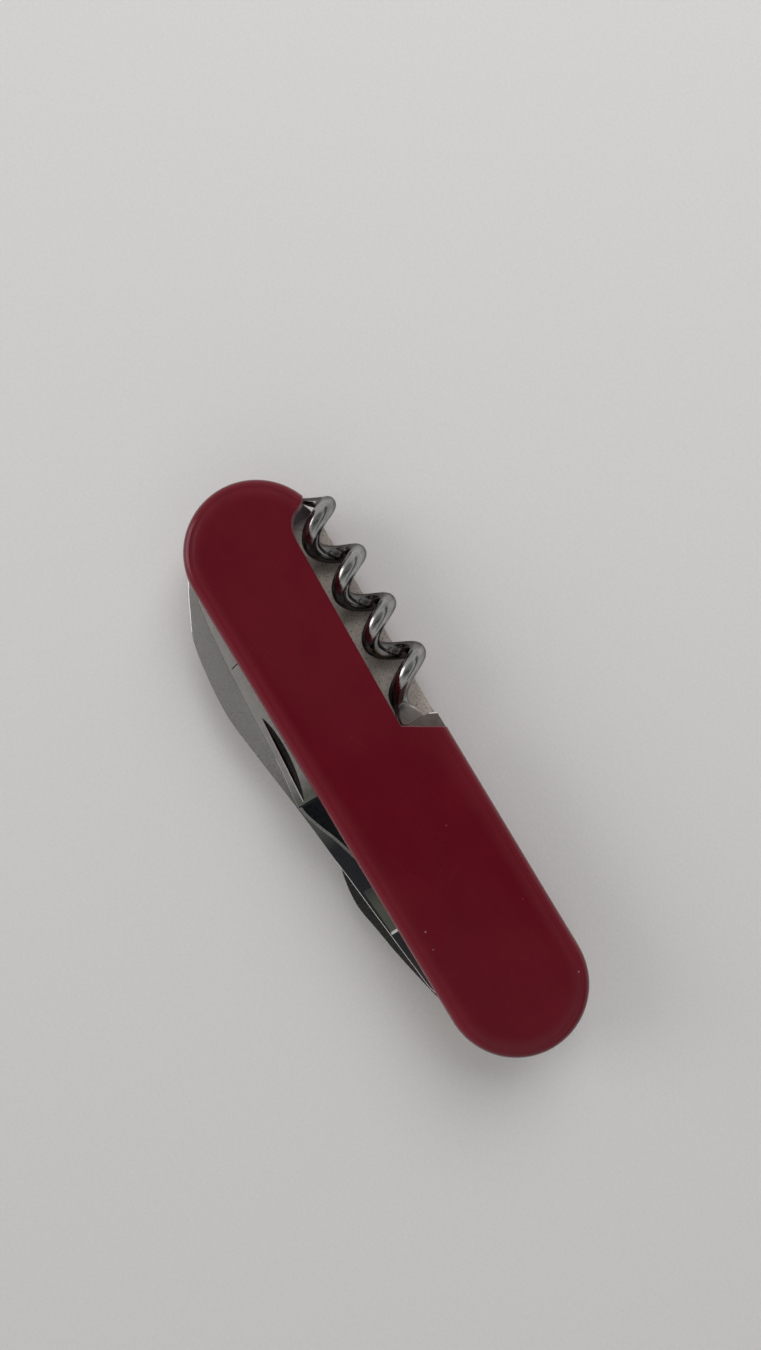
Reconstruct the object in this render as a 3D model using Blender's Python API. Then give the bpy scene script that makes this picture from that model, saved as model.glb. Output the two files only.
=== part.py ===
"""Folding pocket knife with a corkscrew in its back, closed and lying on its rear scale.

The handle runs along X, its back edge faces +Y, and the front scale faces +Z.
Sizes below are millimetres; every mesh is written out in metres.
"""
import math

import bmesh
import bpy
from mathutils import Vector
from mathutils.geometry import tessellate_polygon

MM = 0.001

# Handle outline, a long rounded slab.
HANDLE_LENGTH = 90.0
HANDLE_WIDTH = 20.4
LINER_MARGIN = 0.1
END_STEPS = 20

# Layers through the thickness, from the table up.
SCALE_THICKNESS = 3.0
LINER_THICKNESS = 0.5
TOOL_THICKNESS = 2.5
PLAY = 0.1
THIN_BLADE = 1.25
THIN_SMALL_BLADE = 1.05

# Rounded rim and gentle crown of a scale.
CROWN_INSET = 3.2
CROWN_DROP = 0.15
RIM_WIDTH = 1.3
RIM_DEPTH = 1.8
RIM_STEPS = 5

# Pivots and rivets.
BLADE_PIVOT = (-37.5, -1.8)
SMALL_BLADE_PIVOT = (37.5, -0.5)
SPRING_ANCHOR = (12.0, 7.0)
CORKSCREW_PIVOT = (-1.1, 6.8)
RIVET_RADIUS = 1.25
PIN_RADIUS = 1.0
HOLE_CLEARANCE = 0.1
HEAD_RADIUS = 1.7
HEAD_HEIGHT = 0.7
WASHER_RADIUS = 1.85
WASHER_THICKNESS = 0.3
POCKET_RADIUS = 2.1
POCKET_DEPTH = 1.3
ROUND_STEPS = 24

# Tangs and springs.
TANG_RADIUS = 3.5
SPRING_LOW = 2.0
SPRING_HIGH = 4.1
SPRING_END = 36.2
SPRING_TOP = 10.0
SPRING_EYE_RADIUS = 3.2

# Corkscrew worm.
WIRE_RADIUS = 1.3
WORM_RADIUS = 2.5
WORM_PITCH = 8.17
WORM_LEAN = 0.42
WORM_AXIS_Y = 9.65
FIRST_CREST_X = -36.27
TIP_TURNS = -0.3
TIP_STRETCH = 15.8
FULL_WIRE_TURNS = 0.12
STRAIGHT_FROM_TURNS = 3.33
STEPS_PER_TURN = 16
WIRE_SIDES = 12
TIP_RADIUS = 0.12
NECK_START = (-6.0, 6.25)
NECK_HALF_HEIGHT = 1.3
NECK_STEPS = 4
EYE_RADIUS = 2.5

REAR_SCALE_LOW = 0.0
REAR_SCALE_HIGH = REAR_SCALE_LOW + SCALE_THICKNESS
REAR_LINER_LOW = REAR_SCALE_HIGH + PLAY
REAR_LINER_HIGH = REAR_LINER_LOW + LINER_THICKNESS
REAR_LAYER_LOW = REAR_LINER_HIGH + PLAY
REAR_LAYER_HIGH = REAR_LAYER_LOW + TOOL_THICKNESS
MIDDLE_LINER_LOW = REAR_LAYER_HIGH + PLAY
MIDDLE_LINER_HIGH = MIDDLE_LINER_LOW + LINER_THICKNESS
FRONT_LAYER_LOW = MIDDLE_LINER_HIGH + PLAY
FRONT_LAYER_HIGH = FRONT_LAYER_LOW + TOOL_THICKNESS
FRONT_LINER_LOW = FRONT_LAYER_HIGH + PLAY
FRONT_LINER_HIGH = FRONT_LINER_LOW + LINER_THICKNESS
FRONT_SCALE_LOW = FRONT_LINER_HIGH + PLAY
FRONT_SCALE_HIGH = FRONT_SCALE_LOW + SCALE_THICKNESS

WORM_AXIS_Z = REAR_LINER_HIGH + WORM_RADIUS + WIRE_RADIUS + 0.3


# ---------------------------------------------------------------- outlines and solids

def arc(centre, radius, start, end, steps):
    """Points of a circular arc, both ends included, angles in degrees."""
    points = []
    for k in range(steps + 1):
        angle = math.radians(start + (end - start) * k / steps)
        points.append((centre[0] + radius * math.cos(angle), centre[1] + radius * math.sin(angle)))
    return points


def circle(centre, radius, steps=ROUND_STEPS):
    """Points of a full circle without a repeated end."""
    return arc(centre, radius, 0.0, 360.0, steps)[:-1]


def stadium(inset):
    """Outline of the handle slab moved inwards by inset."""
    radius = HANDLE_WIDTH / 2 - inset
    reach = HANDLE_LENGTH / 2 - HANDLE_WIDTH / 2
    right = arc((reach, 0.0), radius, -90.0, 90.0, END_STEPS)
    left = arc((-reach, 0.0), radius, 90.0, 270.0, END_STEPS)
    return right + left


def smooth(guide, steps=3):
    """Soft curve passing through every guide point."""
    padded = [guide[0]] + list(guide) + [guide[-1]]
    curve = []
    for a, b, c, d in zip(padded, padded[1:], padded[2:], padded[3:]):
        for k in range(steps):
            t = k / steps
            point = []
            for p, q, r, s in zip(a, b, c, d):
                bend = (r - p) * t + (2 * p - 5 * q + 4 * r - s) * t ** 2 + (3 * q - p - 3 * r + s) * t ** 3
                point.append(q + 0.5 * bend)
            curve.append(tuple(point))
    curve.append(tuple(guide[-1]))
    return curve


class Solid:
    """Collects rings of points and skins them into one closed body."""

    def __init__(self):
        self.points = []
        self.faces = []

    def ring(self, points):
        first = len(self.points)
        self.points += [tuple(p) for p in points]
        return list(range(first, len(self.points)))

    def level_ring(self, outline, z):
        return self.ring([(x, y, z) for x, y in outline])

    def skin(self, ring_a, ring_b):
        count = len(ring_a)
        for k in range(count):
            following = (k + 1) % count
            self.faces.append((ring_a[k], ring_a[following], ring_b[following], ring_b[k]))

    def close_end(self, ring):
        self.faces.append(tuple(ring))

    def level_cap(self, outer, *holes):
        """Flat level face bounded by outer, left open at each hole."""
        order = [index for loop in (outer,) + holes for index in loop]
        loops = [[Vector(self.points[index]) for index in loop] for loop in (outer,) + holes]
        for triangle in tessellate_polygon(loops):
            self.faces.append(tuple(order[corner] for corner in triangle))

    def build(self, name, material, origin=(0.0, 0.0, 0.0)):
        mesh = bpy.data.meshes.new(name)
        shifted = [tuple((c - o) * MM for c, o in zip(point, origin)) for point in self.points]
        mesh.from_pydata(shifted, [], self.faces)
        work = bmesh.new()
        work.from_mesh(mesh)
        bmesh.ops.recalc_face_normals(work, faces=work.faces)
        work.to_mesh(mesh)
        work.free()
        mesh.materials.append(material)
        obj = bpy.data.objects.new(name, mesh)
        obj.location = [c * MM for c in origin]
        bpy.context.scene.collection.objects.link(obj)
        return obj


def plate(name, material, outline, low, high, holes=(), origin=(0.0, 0.0, 0.0)):
    """Flat plate between two heights with round holes; each hole is (centre, radius)."""
    solid = Solid()
    bottom = solid.level_ring(outline, low)
    top = solid.level_ring(outline, high)
    solid.skin(bottom, top)
    bottom_holes = []
    top_holes = []
    for centre, radius in holes:
        bottom_holes.append(solid.level_ring(circle(centre, radius), low))
        top_holes.append(solid.level_ring(circle(centre, radius), high))
        solid.skin(bottom_holes[-1], top_holes[-1])
    solid.level_cap(bottom, *bottom_holes)
    solid.level_cap(top, *top_holes)
    return solid.build(name, material, origin)


def loft(name, material, sections, origin=(0.0, 0.0, 0.0)):
    """Skin over matching sections with both ends closed."""
    solid = Solid()
    rings = [solid.ring(section) for section in sections]
    for ring_a, ring_b in zip(rings, rings[1:]):
        solid.skin(ring_a, ring_b)
    solid.close_end(rings[0])
    solid.close_end(rings[-1])
    return solid.build(name, material, origin)


def turned(name, material, centre, profile):
    """Solid of revolution about a vertical line; profile is (radius, height), top to bottom."""
    solid = Solid()
    rings = [solid.level_ring(circle(centre, radius), z) for radius, z in profile]
    for ring_a, ring_b in zip(rings, rings[1:]):
        solid.skin(ring_a, ring_b)
    solid.close_end(rings[0])
    solid.close_end(rings[-1])
    return solid.build(name, material)


def combine(body, tool, operation):
    """Cuts tool from body, or joins it on; the tool itself stays out of the part."""
    tool.display_type = 'WIRE'
    tool.hide_render = True
    step = body.modifiers.new(tool.name, 'BOOLEAN')
    step.operation = operation
    step.solver = 'EXACT'
    step.object = tool


def finish(name, colour, roughness, metallic):
    """Plain material for one kind of surface."""
    material = bpy.data.materials.new(name)
    material.use_nodes = True
    shader = material.node_tree.nodes['Principled BSDF']
    shader.inputs['Base Color'].default_value = (*colour, 1.0)
    shader.inputs['Roughness'].default_value = roughness
    shader.inputs['Metallic'].default_value = metallic
    material.diffuse_color = (*colour, 1.0)
    return material


for leftover in list(bpy.data.objects):
    bpy.data.objects.remove(leftover, do_unlink=True)

CRIMSON = finish('crimson_plastic', (0.24, 0.012, 0.02), 0.18, 0.0)
SATIN_STEEL = finish('satin_steel', (0.62, 0.63, 0.62), 0.3, 1.0)
CHROME = finish('bright_chrome', (0.78, 0.79, 0.8), 0.08, 1.0)
DULL_METAL = finish('dull_liner', (0.5, 0.49, 0.46), 0.45, 1.0)
SPRING_STEEL = finish('spring_steel', (0.5, 0.5, 0.51), 0.35, 1.0)
BRASS = finish('brass', (0.72, 0.55, 0.27), 0.3, 1.0)

RIVETS = {
    'blade_rivet': BLADE_PIVOT,
    'small_blade_rivet': SMALL_BLADE_PIVOT,
    'spring_rivet': SPRING_ANCHOR,
}
RIVET_HOLE = RIVET_RADIUS + HOLE_CLEARANCE
PIN_HOLE = PIN_RADIUS + HOLE_CLEARANCE


# ---------------------------------------------------------------- scales

def notch_outline():
    """Opening in the back edge that shows the corkscrew."""
    corner_x, corner_y = -32.7, 9.16
    reach_x, reach_y = 4.34, 3.55
    roundness = 2 / 2.4
    wall = []
    steps = 6
    for k in range(1, steps + 1):
        angle = math.radians(90.0 * k / steps)
        across = abs(math.cos(angle)) ** roundness
        down = abs(math.sin(angle)) ** roundness
        wall.append((corner_x - reach_x * across, corner_y - reach_y * down))
    corner = [(-39.6, 12.0), (-38.4, 9.5), (-37.7, 9.1), (-37.25, 8.6)]
    return corner + wall + [(-4.0, 4.77), (0.5, 12.0)]


def scale(name, inner, outer):
    """Moulded handle cover: flat inside with rivet pockets, rounded rim and slight crown outside."""
    up = 1.0 if outer > inner else -1.0
    solid = Solid()
    inner_ring = solid.level_ring(stadium(0.0), inner)
    last = inner_ring
    for k in range(RIM_STEPS + 1):
        angle = math.radians(90.0 * k / RIM_STEPS)
        drop = CROWN_DROP + RIM_DEPTH * (1.0 - math.sin(angle))
        ring = solid.level_ring(stadium(RIM_WIDTH * (1.0 - math.cos(angle))), outer - up * drop)
        solid.skin(last, ring)
        last = ring
    face = solid.level_ring(stadium(CROWN_INSET), outer)
    solid.skin(last, face)
    solid.level_cap(face)
    mouths = []
    for centre in RIVETS.values():
        mouth = solid.level_ring(circle(centre, POCKET_RADIUS), inner)
        floor = solid.level_ring(circle(centre, POCKET_RADIUS), inner + up * POCKET_DEPTH)
        solid.skin(mouth, floor)
        solid.level_cap(floor)
        mouths.append(mouth)
    solid.level_cap(inner_ring, *mouths)
    return solid.build(name, CRIMSON)


rear_scale = scale('rear_scale', REAR_SCALE_HIGH, REAR_SCALE_LOW)
front_scale = scale('front_scale', FRONT_SCALE_LOW, FRONT_SCALE_HIGH)
scale_notch = plate('scale_notch', CRIMSON, notch_outline(), FRONT_SCALE_LOW - 1.0, FRONT_SCALE_HIGH + 1.0)
combine(front_scale, scale_notch, 'DIFFERENCE')


# ---------------------------------------------------------------- liners

LINER_HOLES = [(centre, RIVET_HOLE) for centre in RIVETS.values()] + [(CORKSCREW_PIVOT, PIN_HOLE)]

rear_liner = plate('rear_liner', DULL_METAL, stadium(LINER_MARGIN), REAR_LINER_LOW, REAR_LINER_HIGH,
                   LINER_HOLES)

# The middle liner is cut down behind the worm and its eye, and keeps only the rivet holes.
middle_liner = plate('middle_liner', DULL_METAL, stadium(LINER_MARGIN), MIDDLE_LINER_LOW, MIDDLE_LINER_HIGH,
                     LINER_HOLES[:-1])
WORM_BAY = [(-42.0, 12.0), (-40.8, SPRING_HIGH), (1.9, SPRING_HIGH), (3.3, 12.0)]
middle_bay = plate('middle_bay', DULL_METAL, WORM_BAY, MIDDLE_LINER_LOW - 1.0, MIDDLE_LINER_HIGH + 1.0)
combine(middle_liner, middle_bay, 'DIFFERENCE')

# The front liner shows a narrow cut edge beside the worm's eye.
front_liner = plate('front_liner', DULL_METAL, stadium(LINER_MARGIN), FRONT_LINER_LOW, FRONT_LINER_HIGH,
                    LINER_HOLES)
LINER_NOTCH = notch_outline()[:-2] + [(-3.4, 4.77), (-3.5, 9.0), (-2.85, 10.3), (-2.85, 12.0)]
liner_notch = plate('liner_notch', DULL_METAL, LINER_NOTCH, FRONT_LINER_LOW - 1.0, FRONT_LINER_HIGH + 1.0)
combine(front_liner, liner_notch, 'DIFFERENCE')


# ---------------------------------------------------------------- springs

SPRING_LEFT = [(1.9, SPRING_HIGH), (-SPRING_END, SPRING_HIGH), (-SPRING_END, SPRING_LOW), (0.5, SPRING_LOW)]
SPRING_BACK = arc((34.2, SPRING_TOP - 2.0), 2.0, 0.0, 90.0, 4) + [(3.3, SPRING_TOP)]

REAR_SPRING = SPRING_LEFT + [(8.0, 4.6), (27.0, 4.6), (31.0, 3.4), (SPRING_END, 3.4)] + SPRING_BACK
rear_spring = plate('rear_spring', SPRING_STEEL, REAR_SPRING, REAR_LAYER_LOW, REAR_LAYER_HIGH,
                    [(SPRING_ANCHOR, RIVET_HOLE)])

SPRING_LOOP = arc(SMALL_BLADE_PIVOT, SPRING_EYE_RADIUS, 180.0, 400.0, 16)
FRONT_SPRING = SPRING_LEFT + [(8.0, 4.6), (27.0, 4.6), (32.5, 2.6)] + SPRING_LOOP + SPRING_BACK
front_spring = plate('front_spring', SPRING_STEEL, FRONT_SPRING, FRONT_LAYER_LOW, FRONT_LAYER_HIGH,
                     [(SPRING_ANCHOR, RIVET_HOLE), (SMALL_BLADE_PIVOT, RIVET_HOLE)])


# ---------------------------------------------------------------- blades

def blade_body(name, material, spine, edge, low, high, origin):
    """Wedge with full thickness along the spine and thin along the cutting edge."""
    thinning = 0.42 * (high - low)
    sections = []
    for back, lip in zip(spine, edge):
        sections.append([
            (*back, low), (*back, high), (*lip, high - thinning), (*lip, low + thinning),
        ])
    return loft(name, material, sections, origin)


blade_origin = (*BLADE_PIVOT, (REAR_LAYER_LOW + REAR_LAYER_HIGH) / 2)
BLADE_SPINE = smooth([
    (-36.4, -11.33), (-33.84, -12.65), (-28.64, -14.78), (-18.77, -15.95), (-10.98, -15.3),
    (0.45, -14.0), (16.0, -12.6), (27.5, -11.5), (31.4, -11.0), (33.3, -9.7),
])
BLADE_EDGE = smooth([
    (-34.6, -4.0), (-30.5, -2.6), (-26.0, -2.5), (-18.0, -2.5), (-10.0, -2.5),
    (0.0, -2.5), (13.0, -2.6), (22.5, -3.5), (29.5, -6.2), (33.3, -9.4),
])
TANG_OUTLINE = arc(BLADE_PIVOT, TANG_RADIUS, -10.0, 256.0, 18) + [
    (-38.4, -5.4), (-38.4, -8.0), (-37.27, -10.88), (-31.2, -13.65), (-30.4, -5.0), (-30.6, -3.2),
]
large_blade = plate('large_blade', SATIN_STEEL, TANG_OUTLINE, REAR_LAYER_LOW, REAR_LAYER_HIGH,
                    [(BLADE_PIVOT, RIVET_HOLE)], blade_origin)
large_blade_body = blade_body('large_blade_body', SATIN_STEEL, BLADE_SPINE, BLADE_EDGE,
                              REAR_LAYER_HIGH - THIN_BLADE, REAR_LAYER_HIGH - 0.02, blade_origin)
combine(large_blade, large_blade_body, 'UNION')

small_origin = (*SMALL_BLADE_PIVOT, (REAR_LAYER_LOW + REAR_LAYER_HIGH) / 2)
SMALL_SPINE = smooth([
    (37.0, -9.2), (33.9, -10.8), (25.8, -12.6), (20.0, -13.55), (15.2, -14.2),
    (10.2, -13.53), (4.6, -11.6), (-1.0, -9.2), (-4.5, -6.9),
])
SMALL_EDGE = smooth([
    (36.0, -5.0), (31.0, -3.7), (25.0, -3.5), (19.0, -3.5), (14.0, -3.5),
    (8.0, -3.6), (3.0, -4.2), (-1.5, -5.4), (-4.5, -6.5),
])
SMALL_TANG = arc(SMALL_BLADE_PIVOT, TANG_RADIUS, -74.0, 190.0, 18) + [
    (34.0, -3.6), (34.0, -6.0), (34.0, -10.6), (37.6, -9.3), (38.5, -7.2), (38.5, -4.1),
]
small_blade = plate('small_blade', SATIN_STEEL, SMALL_TANG, REAR_LAYER_LOW, REAR_LAYER_HIGH,
                    [(SMALL_BLADE_PIVOT, RIVET_HOLE)], small_origin)
small_blade_body = blade_body('small_blade_body', SATIN_STEEL, SMALL_SPINE, SMALL_EDGE,
                              REAR_LAYER_LOW + 0.05, REAR_LAYER_LOW + 0.05 + THIN_SMALL_BLADE, small_origin)
combine(small_blade, small_blade_body, 'UNION')


# ---------------------------------------------------------------- combination opener

opener_origin = (*BLADE_PIVOT, (FRONT_LAYER_LOW + FRONT_LAYER_HIGH) / 2)
OPENER_BACK = smooth([
    (-36.0, -9.8), (-33.3, -10.74), (-25.2, -11.7), (-15.05, -12.42), (-7.95, -12.77),
    (-1.56, -13.48), (1.9, -12.77), (5.24, -11.55), (9.3, -10.44), (13.5, -9.0),
])
OPENER_HOOK = [(13.5, -5.4), (4.0, -4.8), (1.0, -4.6)] + arc((-2.4, -5.4), 2.4, 0.0, -150.0, 6) + [(-5.6, -4.4)]
OPENER_INSIDE = [(-28.0, -3.6), (-32.0, -2.9)]
OPENER_OUTLINE = (
    arc(BLADE_PIVOT, TANG_RADIUS, -10.0, 256.0, 18)
    + [(-38.4, -5.4), (-38.4, -7.8)] + OPENER_BACK + OPENER_HOOK + OPENER_INSIDE
)
combination_opener = plate('combination_opener', SATIN_STEEL, OPENER_OUTLINE, FRONT_LAYER_LOW, FRONT_LAYER_HIGH,
                           [(BLADE_PIVOT, RIVET_HOLE)], opener_origin)

# Nail nick: steep wall along its outer side, floor rising to nothing on its inner side.
NICK_START, NICK_END = -14.85, -1.86
NICK_DEPTH = 0.6
NICK_STEPS = 10
nick_sections = []
for k in range(NICK_STEPS + 1):
    along = k / NICK_STEPS
    x = NICK_START + (NICK_END - NICK_START) * along
    swell = math.sin(math.pi * (0.02 + 0.96 * along)) ** 0.6
    outer_side = -11.45 - 0.97 * along
    inner_side = outer_side + 1.0 * swell
    nick_sections.append([
        (x, outer_side, FRONT_LAYER_HIGH - NICK_DEPTH * swell),
        (x, outer_side, FRONT_LAYER_HIGH + 0.5),
        (x, inner_side, FRONT_LAYER_HIGH + 0.5),
        (x, inner_side, FRONT_LAYER_HIGH - 0.02),
    ])
nail_nick = loft('nail_nick', SATIN_STEEL, nick_sections, opener_origin)
combine(combination_opener, nail_nick, 'DIFFERENCE')

# The driver tip is ground thinner from its front face.
TIP_START, TIP_END = -1.15, 15.0
TIP_THINNING = 1.3
tip_sections = []
for y in (-15.0, -3.0):
    tip_sections.append([
        (TIP_START, y, FRONT_LAYER_HIGH), (TIP_START, y, FRONT_LAYER_HIGH + 1.0),
        (TIP_END, y, FRONT_LAYER_HIGH + 1.0), (TIP_END, y, FRONT_LAYER_HIGH - TIP_THINNING),
    ])
tip_grind = loft('tip_grind', SATIN_STEEL, tip_sections, opener_origin)
combine(combination_opener, tip_grind, 'DIFFERENCE')


# ---------------------------------------------------------------- corkscrew

def worm_along(turns):
    """Travel along the worm and its rate: turns lean towards the point, which is drawn out."""
    angle = 2.0 * math.pi * turns
    if turns < 0.0:
        rate = WORM_PITCH - 2.0 * math.pi * WORM_LEAN
        return rate * turns - TIP_STRETCH * turns ** 2, rate - 2.0 * TIP_STRETCH * turns
    travel = WORM_PITCH * turns - WORM_LEAN * math.sin(angle)
    return travel, WORM_PITCH - 2.0 * math.pi * WORM_LEAN * math.cos(angle)


def worm_centre(turns):
    """Centre of the wire after so many turns from the first crest."""
    angle = 2.0 * math.pi * turns
    return Vector((
        FIRST_CREST_X + worm_along(turns)[0],
        WORM_AXIS_Y + WORM_RADIUS * math.cos(angle),
        WORM_AXIS_Z + WORM_RADIUS * math.sin(angle),
    ))


def worm_heading(turns):
    """Direction of travel of the wire."""
    angle = 2.0 * math.pi * turns
    rise = worm_along(turns)[1] / (2.0 * math.pi)
    return Vector((rise, -WORM_RADIUS * math.sin(angle), WORM_RADIUS * math.cos(angle))).normalized()


def wire_section(centre, heading, outward, half_height, half_width, squareness):
    """Closed section across the wire; squareness 2 is round, larger is flatter-sided."""
    side = heading.cross(outward).normalized()
    height = side.cross(heading).normalized()
    points = []
    for k in range(WIRE_SIDES):
        angle = 2.0 * math.pi * k / WIRE_SIDES
        across = math.copysign(abs(math.sin(angle)) ** (2.0 / squareness), math.sin(angle))
        up = math.copysign(abs(math.cos(angle)) ** (2.0 / squareness), math.cos(angle))
        points.append(centre + side * half_width * across + height * half_height * up)
    return points


worm_sections = []
worm_steps = round((STRAIGHT_FROM_TURNS - TIP_TURNS) * STEPS_PER_TURN)
for k in range(worm_steps + 1):
    turns = TIP_TURNS + (STRAIGHT_FROM_TURNS - TIP_TURNS) * k / worm_steps
    growth = math.sqrt(min(1.0, (turns - TIP_TURNS) / (FULL_WIRE_TURNS - TIP_TURNS)))
    thickness = TIP_RADIUS + (WIRE_RADIUS - TIP_RADIUS) * growth
    angle = 2.0 * math.pi * turns
    outward = Vector((0.0, math.cos(angle), math.sin(angle)))
    worm_sections.append(wire_section(worm_centre(turns), worm_heading(turns), outward,
                                      thickness, thickness, 2.0))

# The last turn runs out into a straight shank pointing at the eye.
SHANK_STEPS = 6
shank_from = worm_centre(STRAIGHT_FROM_TURNS)
shank_heading = worm_heading(STRAIGHT_FROM_TURNS)
shank_to = Vector((*NECK_START, WORM_AXIS_Z))
reach = (shank_to - shank_from).length
last_outward = Vector((0.0, math.cos(angle), math.sin(angle)))
for k in range(1, SHANK_STEPS + 1):
    t = k / SHANK_STEPS
    start_pull = shank_from + shank_heading * reach * 0.4
    end_pull = shank_to - Vector((reach * 0.4, 0.0, 0.0))
    centre = (shank_from * (1 - t) ** 3 + start_pull * 3 * t * (1 - t) ** 2
              + end_pull * 3 * t ** 2 * (1 - t) + shank_to * t ** 3)
    heading = ((start_pull - shank_from) * (1 - t) ** 2 + (end_pull - start_pull) * 2 * t * (1 - t)
               + (shank_to - end_pull) * t ** 2).normalized()
    outward = last_outward.lerp(Vector((0.0, -1.0, 0.0)), t)
    worm_sections.append(wire_section(centre, heading, outward, WIRE_RADIUS - 0.05 * t, WIRE_RADIUS, 2.0 + t))

# The shank is flattened into a round eye for the pin.
EYE_STEPS = 15
neck_end = CORKSCREW_PIVOT[0] - 0.9
for k in range(1, EYE_STEPS + 1):
    if k <= NECK_STEPS:
        t = k / NECK_STEPS
        x = NECK_START[0] + (neck_end - NECK_START[0]) * t
        y = NECK_START[1] + (CORKSCREW_PIVOT[1] - NECK_START[1]) * t
        joined = math.sqrt(EYE_RADIUS ** 2 - (neck_end - CORKSCREW_PIVOT[0]) ** 2)
        half_height = NECK_HALF_HEIGHT + (joined - NECK_HALF_HEIGHT) * t ** 0.8
        squareness = 3.0 + 5.0 * min(1.0, 2.0 * t)
    else:
        remaining = (EYE_STEPS - k + 0.6) / (EYE_STEPS - NECK_STEPS + 0.6)
        sweep = math.acos((neck_end - CORKSCREW_PIVOT[0]) / EYE_RADIUS) * remaining
        x = CORKSCREW_PIVOT[0] + EYE_RADIUS * math.cos(sweep)
        y = CORKSCREW_PIVOT[1]
        half_height = EYE_RADIUS * math.sin(sweep)
        squareness = 8.0
    centre = Vector((x, y, WORM_AXIS_Z))
    worm_sections.append(wire_section(centre, Vector((1.0, 0.0, 0.0)), Vector((0.0, -1.0, 0.0)),
                                      half_height, WIRE_RADIUS, squareness))

corkscrew_origin = (*CORKSCREW_PIVOT, WORM_AXIS_Z)
corkscrew = loft('corkscrew', CHROME, worm_sections, corkscrew_origin)
eye_hole = plate('eye_hole', CHROME, circle(CORKSCREW_PIVOT, PIN_HOLE), WORM_AXIS_Z - 3.0, WORM_AXIS_Z + 3.0)
combine(corkscrew, eye_hole, 'DIFFERENCE')


# ---------------------------------------------------------------- rivets, washers, pin and spacers

def ring_piece(name, material, centre, hole, radius, low, high):
    """Flat washer or tubular spacer."""
    return plate(name, material, circle(centre, radius), low, high, [(centre, hole)])


FRONT_HEAD_LOW = FRONT_SCALE_LOW + WASHER_THICKNESS + PLAY
REAR_HEAD_HIGH = REAR_SCALE_HIGH - WASHER_THICKNESS - PLAY
DOME = [(0.45, 1.0), (0.85, 0.7), (1.0, 0.3)]

for rivet_name, centre in RIVETS.items():
    profile = [(HEAD_RADIUS * wide, FRONT_HEAD_LOW + HEAD_HEIGHT * tall) for wide, tall in DOME]
    profile += [(HEAD_RADIUS, FRONT_HEAD_LOW), (RIVET_RADIUS, FRONT_HEAD_LOW)]
    profile += [(RIVET_RADIUS, REAR_HEAD_HIGH), (HEAD_RADIUS, REAR_HEAD_HIGH)]
    profile += [(HEAD_RADIUS * wide, REAR_HEAD_HIGH - HEAD_HEIGHT * tall) for wide, tall in reversed(DOME)]
    turned(rivet_name, SPRING_STEEL, centre, profile)
    ring_piece(rivet_name + '_washer_front', BRASS, centre, RIVET_HOLE, WASHER_RADIUS,
               FRONT_SCALE_LOW, FRONT_SCALE_LOW + WASHER_THICKNESS)
    ring_piece(rivet_name + '_washer_rear', BRASS, centre, RIVET_HOLE, WASHER_RADIUS,
               REAR_SCALE_HIGH - WASHER_THICKNESS, REAR_SCALE_HIGH)

turned('corkscrew_pin', SPRING_STEEL, CORKSCREW_PIVOT,
       [(PIN_RADIUS, FRONT_LINER_HIGH), (PIN_RADIUS, REAR_LINER_LOW)])
SPACER_RADIUS = 2.2
ring_piece('corkscrew_spacer_rear', BRASS, CORKSCREW_PIVOT, PIN_HOLE, SPACER_RADIUS,
           REAR_LAYER_LOW, WORM_AXIS_Z - WIRE_RADIUS - PLAY)
ring_piece('corkscrew_spacer_front', BRASS, CORKSCREW_PIVOT, PIN_HOLE, SPACER_RADIUS,
           WORM_AXIS_Z + WIRE_RADIUS + PLAY, FRONT_LAYER_HIGH)
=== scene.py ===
import math

import bmesh
import bpy
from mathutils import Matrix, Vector


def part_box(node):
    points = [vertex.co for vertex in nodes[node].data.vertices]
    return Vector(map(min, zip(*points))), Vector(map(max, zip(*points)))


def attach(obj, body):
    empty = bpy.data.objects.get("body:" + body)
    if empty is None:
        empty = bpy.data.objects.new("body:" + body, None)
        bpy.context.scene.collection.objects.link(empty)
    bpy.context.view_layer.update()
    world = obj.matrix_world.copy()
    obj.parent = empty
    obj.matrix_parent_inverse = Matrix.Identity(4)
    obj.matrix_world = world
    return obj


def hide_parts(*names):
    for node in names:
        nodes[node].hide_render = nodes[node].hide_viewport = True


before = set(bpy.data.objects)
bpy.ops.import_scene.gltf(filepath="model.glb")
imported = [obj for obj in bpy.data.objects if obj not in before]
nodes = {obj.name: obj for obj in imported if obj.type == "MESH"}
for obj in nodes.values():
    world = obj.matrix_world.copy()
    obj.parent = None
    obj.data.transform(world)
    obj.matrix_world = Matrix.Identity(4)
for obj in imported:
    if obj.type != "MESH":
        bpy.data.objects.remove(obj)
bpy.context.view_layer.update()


# ---- Front scale ---------------------------------------------------------------
# The handle cover on the upper side: one moulding of glossy dark red plastic with a
# softly rounded rim and a very slight crown. A long notch is cut through it down from
# the back edge so that the corkscrew can lie in the handle.

MM = 0.001


def arc(centre, radius, start, end, steps):
    """Points of a circular arc in millimetres, both ends included."""
    points = []
    for k in range(steps + 1):
        angle = math.radians(start + (end - start) * k / steps)
        points.append((centre[0] + radius * math.cos(angle), centre[1] + radius * math.sin(angle)))
    return points


def handle_outline(inset, steps=44):
    """Rounded outline shared by the scales and liners, moved inwards by inset."""
    return (arc((34.8, 0.0), 10.2 - inset, -90.0, 90.0, steps)
            + arc((-34.8, 0.0), 10.2 - inset, 90.0, 270.0, steps))


def notch_outline():
    """The corkscrew's opening, running out past the back edge."""
    wall = []
    for k in range(2, 13):
        angle = math.radians(90.0 * k / 12)
        wall.append((-32.7 - 4.34 * math.cos(angle) ** 0.83, 9.16 - 3.55 * math.sin(angle) ** 0.83))
    corner = [(-39.6, 12.0), (-38.4, 9.5), (-37.7, 9.1), (-37.25, 8.6)]
    return corner + wall + [(-4.0, 4.77), (0.5, 12.0)]


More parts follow.
